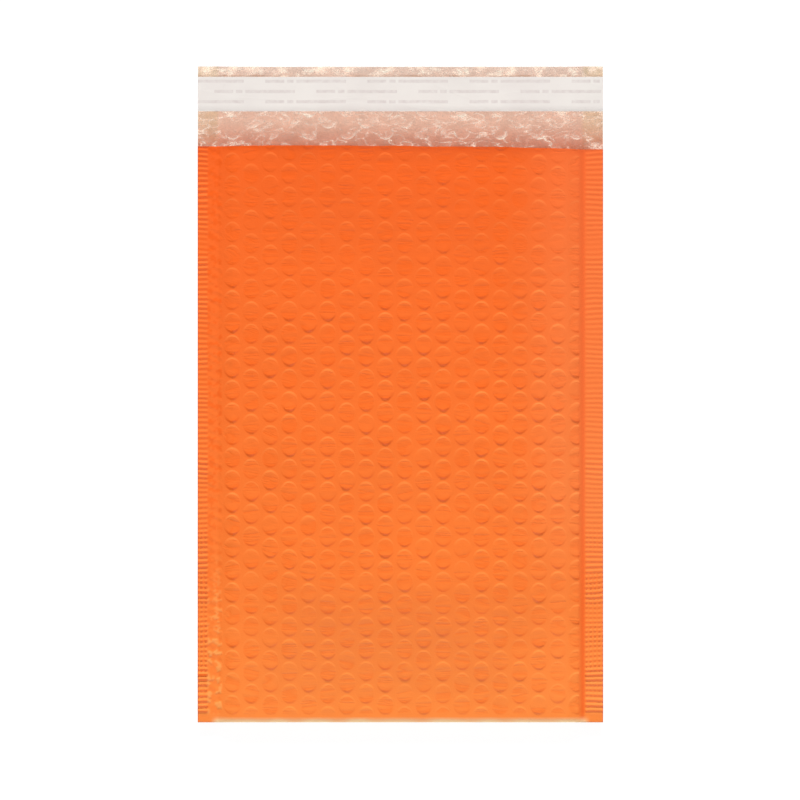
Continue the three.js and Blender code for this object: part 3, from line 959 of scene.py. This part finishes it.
def makeAirCells(name, start, end, rows, firstRow, ringPoints):
    edge = halfWidth - airCells["sideInset"]
    low, high = (-edge, start), (edge, end)
    points, faces, marks = growField(
        low, high, rows, firstRow, cellFilm, 9, airCells, sealColumns, ringPoints)
    sheet = FlatSheet()
    sheet.add(points, faces)
    inside = spaced(-edge, 5, -90, 2, -80, 4, 80, 2, 90, 5, edge)
    front = sheet.close(low, high, inside, plainRuns(start, end, 7))[0]
    x, run, height = sheet.points.T
    thickness = thicknessAt(x, run)
    flat = thickness - airCells["liningRoom"]
    land = flat - airCells["landThickness"]
    depth = land + (np.minimum(airCells["crownDepth"], land) - land) * height
    depth[front:] = flat[front:]
    # wall: painted glints on the cells' walls
    values = {"wall": spread(marks["wall"], len(x))}
    return makePiece(name, foldWeb(x, run, depth), sheet.faces, [cellFilm], None, values)


frontCells = makeAirCells(
    "airCellsFront", backRun, webRun - airCells["mouthInset"], frontRows, cells["frontRow"], 16)
backCells = makeAirCells("airCellsBack", airCells["mouthInset"], backRun, backRows, backFirstRow, 24)
print("air cells made")


# Lining: one sheet down the back, round the fold and up the front, welded in the seals

lining = dict(
    filmThickness=0.1, fineEnd=52,
    footRadius=4.5, wallWidth=0.6, ridgeHeight=0.14, dishHeight=0.05, sideShare=0.7,
    heightSpread=0.6, wander=0.3, crumple=0.06,
    wrinkleHeight=0.14, wrinkleLength=7, wrinkleStretch=2.4,
    sealLine=0.15,          # how clearly the painted highlight lines on the seal's ribs show
)


def underLiner(run):
    # 1 where the liner covers the flap
    return smooth((run - flapEndY + linerHigh[1]) / 2) * smooth((flapEndY - linerLow[1] - run) / 2)


def makeLining():
    edge = halfWidth - 0.05
    low, high = (-edge, 0.05), (edge, webRun - 0.05)
    points, faces, marks = growField(
        low, (edge, lining["fineEnd"]), 6, backFirstRow, liningFilm, 12, lining, sealColumns, 32)
    sheet = FlatSheet()
    sheet.add(points, faces)
    fine = sheet.chainAt(1, lining["fineEnd"])
    across = spaced(-edge, 4, -90, 2, -80, 3.6, 80, 2, 90, 4, edge)
    rest = sheet.addGrid(across, plainRuns(lining["fineEnd"] + 0.6, high[1], 6))
    sheet.zipChains(rest[0], fine, sheet.points[rest[0], 0], sheet.points[fine, 0])
    front = sheet.close(low, high, across, plainRuns(low[1], high[1], 6))[0]
    x, run, height = sheet.points.T
    thickness = thicknessAt(x, run)
    wave = ripple(x, run, 41, lining["wrinkleLength"], lining["wrinkleStretch"])
    wrinkle = np.clip(1 - 1.4 * np.abs(wave), 0, 1)
    onFlap = smooth((lining["fineEnd"] - 1 - run) / 4) * (1 - 0.85 * underLiner(run))
    unsealed = 0.25 + 0.75 * smooth((sealInnerEdge + 2 - np.abs(x)) / 5)
    depth = thickness + onFlap * (height * unsealed + lining["wrinkleHeight"] * wrinkle)
    depth[front:] = (thickness - lining["filmThickness"])[front:]
    ribs = 0.5 + 0.5 * np.sin(ribPhase(x, run))
    # painted highlight lines on the seal's ribs and painted highlight blobs along the flap's free edge
    lines = lining["sealLine"] * ribs * smooth((np.abs(x) - sealInnerEdge + 0.3) / 0.8)
    gathers = smooth(1.5 * ripple(x, run, 44, 5, 1.7) - 0.1) * smooth((5.4 - run) / 1.5)
    values = {"wall": spread(marks["wall"], len(x)) * unsealed + lines + gathers}
    return makePiece("liningFilm", foldWeb(x, run, depth), sheet.faces, [liningFilm], None, values)


liningPiece = makeLining()
for clearPiece in (frontCells, backCells, liningPiece):
    clearPiece.visible_shadow = False  # clear film lets the light through
print("lining made")


# Closure: a bead of hot melt under a peel-off liner

closure = dict(linerWave=0.1, linerDroop=0.3, droopWidth=2.0, linerLift=0.5, liftLength=14)


def makeStrip(name, node, xStep, runStep, wave, material):
    low, high = boxOf(node)
    runLow, runHigh = flapEndY - high[1], flapEndY - low[1]
    sheet = FlatSheet()
    xs, runs = spaced(low[0], xStep, high[0]), spaced(runLow, runStep, runHigh)
    sheet.addGrid(xs, runs)
    front = sheet.close((low[0], runLow), (high[0], runHigh), xs, runs)[0]
    x, run = sheet.points.T[:2]
    z = np.full(len(x), high[2])
    z[front:] = low[2]
    z = z + wave(x, run) + slackAt(x, run)
    points = np.stack([x, flapEndY - run, z], axis=1)
    return makePiece(name, points, sheet.faces, [material])


def linerWave(x, run):
    # loose along its length, down onto the film at its lower edge, one corner lifting
    rise = closure["linerWave"] * (0.5 + 0.5 * ripple(x, run, 51, 45))
    lowerEdge = flapEndY - linerLow[1]
    droop = smooth((run - lowerEdge + closure["droopWidth"]) / closure["droopWidth"])
    corner = smooth((x - halfWidth + closure["liftLength"]) / closure["liftLength"])
    corner = corner * smooth((20 - run) / 14)
    return rise * (1 - droop) - closure["linerDroop"] * droop + closure["linerLift"] * corner


adhesivePiece = makeStrip("adhesiveStrip", "adhesive_strip", 2.0, 1.0, lambda x, run: 0 * x, hotMelt)
linerPiece = makeStrip("releaseLiner", "release_liner", 1.2, 1.0, linerWave, linerPaper)
for stripPiece in (adhesivePiece, linerPiece):
    stripPiece.visible_shadow = False  # thin enough to glow through
print("closure made")


# Floor, light and camera

stage = dict(
    floorDrop=0.4, floorWidth=8000,
    worldShare=0.28,        # shares of the light on a level surface
    keyShare=0.41, keyHeight=22, keyTurn=0, keySoftness=14,      # from beyond the flap
    fillShare=0.33, fillHeight=42, fillTurn=180, fillSoftness=30,
)
view = dict(
    lens=135, sensor=36, imageSize=800,
    pixelsPerMm=2.0262, middleX=-0.2, middleY=-2.74, planeZ=3.3,
)


def makeFloor():
    half = stage["floorWidth"] / 2
    mesh = bpy.data.meshes.new("floor")
    corners = [(-half, -half), (half, -half), (half, half), (-half, half)]
    points = [(x * mm, y * mm, -stage["floorDrop"] * mm) for x, y in corners]
    mesh.from_pydata(points, [], [(0, 1, 2, 3)])
    floor = addObject("floor", mesh)
    material = bpy.data.materials.new("paleFloor")
    material.use_nodes = True
    tree = material.node_tree
    tree.nodes.clear()
    rays = tree.nodes.new("ShaderNodeLightPath").outputs
    seen = maths(tree, "MAXIMUM", rays["Is Camera Ray"], maths(
        tree, "MAXIMUM", rays["Is Glossy Ray"], rays["Is Transmission Ray"]))
    plain = addNode(tree, "ShaderNodeBsdfDiffuse", {"Color": (0.8, 0.8, 0.8, 1)})
    shaded = addNode(tree, "ShaderNodeBsdfDiffuse", {"Color": (0.25, 0.25, 0.25, 1)})
    glow = addNode(tree, "ShaderNodeEmission", {"Color": (1, 1, 1, 1), "Strength": 0.84})
    white = addNode(tree, "ShaderNodeAddShader", {0: shaded.outputs[0], 1: glow.outputs[0]})
    pick = addNode(tree, "ShaderNodeMixShader", {0: seen, 1: plain.outputs[0], 2: white.outputs[0]})
    out = tree.nodes.new("ShaderNodeOutputMaterial")
    tree.links.new(pick.outputs[0], out.inputs["Surface"])
    mesh.materials.append(material)
    return floor


def makeLights():
    world = bpy.data.worlds.new("studio")
    bpy.context.scene.world = world
    world.use_nodes = True
    tree = world.node_tree
    background = tree.nodes["Background"]
    background.inputs["Color"].default_value = (1, 1, 1, 1)
    seen = tree.nodes.new("ShaderNodeLightPath").outputs["Is Camera Ray"]
    tree.links.new(remap(tree, seen, 0.0, 1.0, stage["worldShare"], 1.0), background.inputs["Strength"])
    for name in ("key", "fill"):
        lamp = bpy.data.lights.new(name, "SUN")
        rise = math.radians(stage[name + "Height"])
        lamp.energy = stage[name + "Share"] * math.pi / math.sin(rise)
        lamp.angle = math.radians(stage[name + "Softness"])
        lamp.use_shadow = name == "key"
        light = addObject(name, lamp)
        light.rotation_euler = (rise - math.pi / 2, 0, -math.radians(stage[name + "Turn"]))
        light.visible_glossy = name == "fill"   # the low key would glare from the front


def makeCamera():
    data = bpy.data.cameras.new("camera")
    data.lens = view["lens"]
    data.sensor_width = view["sensor"]
    camera = addObject("camera", data)
    distance = view["imageSize"] / view["pixelsPerMm"] * view["lens"] / view["sensor"]
    camera.location = (view["middleX"] * mm, view["middleY"] * mm, (view["planeZ"] + distance) * mm)
    bpy.context.scene.camera = camera


floor = makeFloor()
makeLights()
makeCamera()
bpy.context.scene.view_settings.view_transform = "Standard"

for piece, node, slot in (
    (frontFilm, "outer_film", "orange_film"),
    (backFilm, "outer_film", "orange_film"),
    (frontCells, "bubble_film", "clear_cell_film"),
    (backCells, "bubble_film", "clear_cell_film"),
    (liningPiece, "lining_film", "clear_lining"),
    (adhesivePiece, "adhesive_strip", "hot_melt"),
    (linerPiece, "release_liner", "liner_paper"),
):
    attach(piece, "root")
    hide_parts(node)
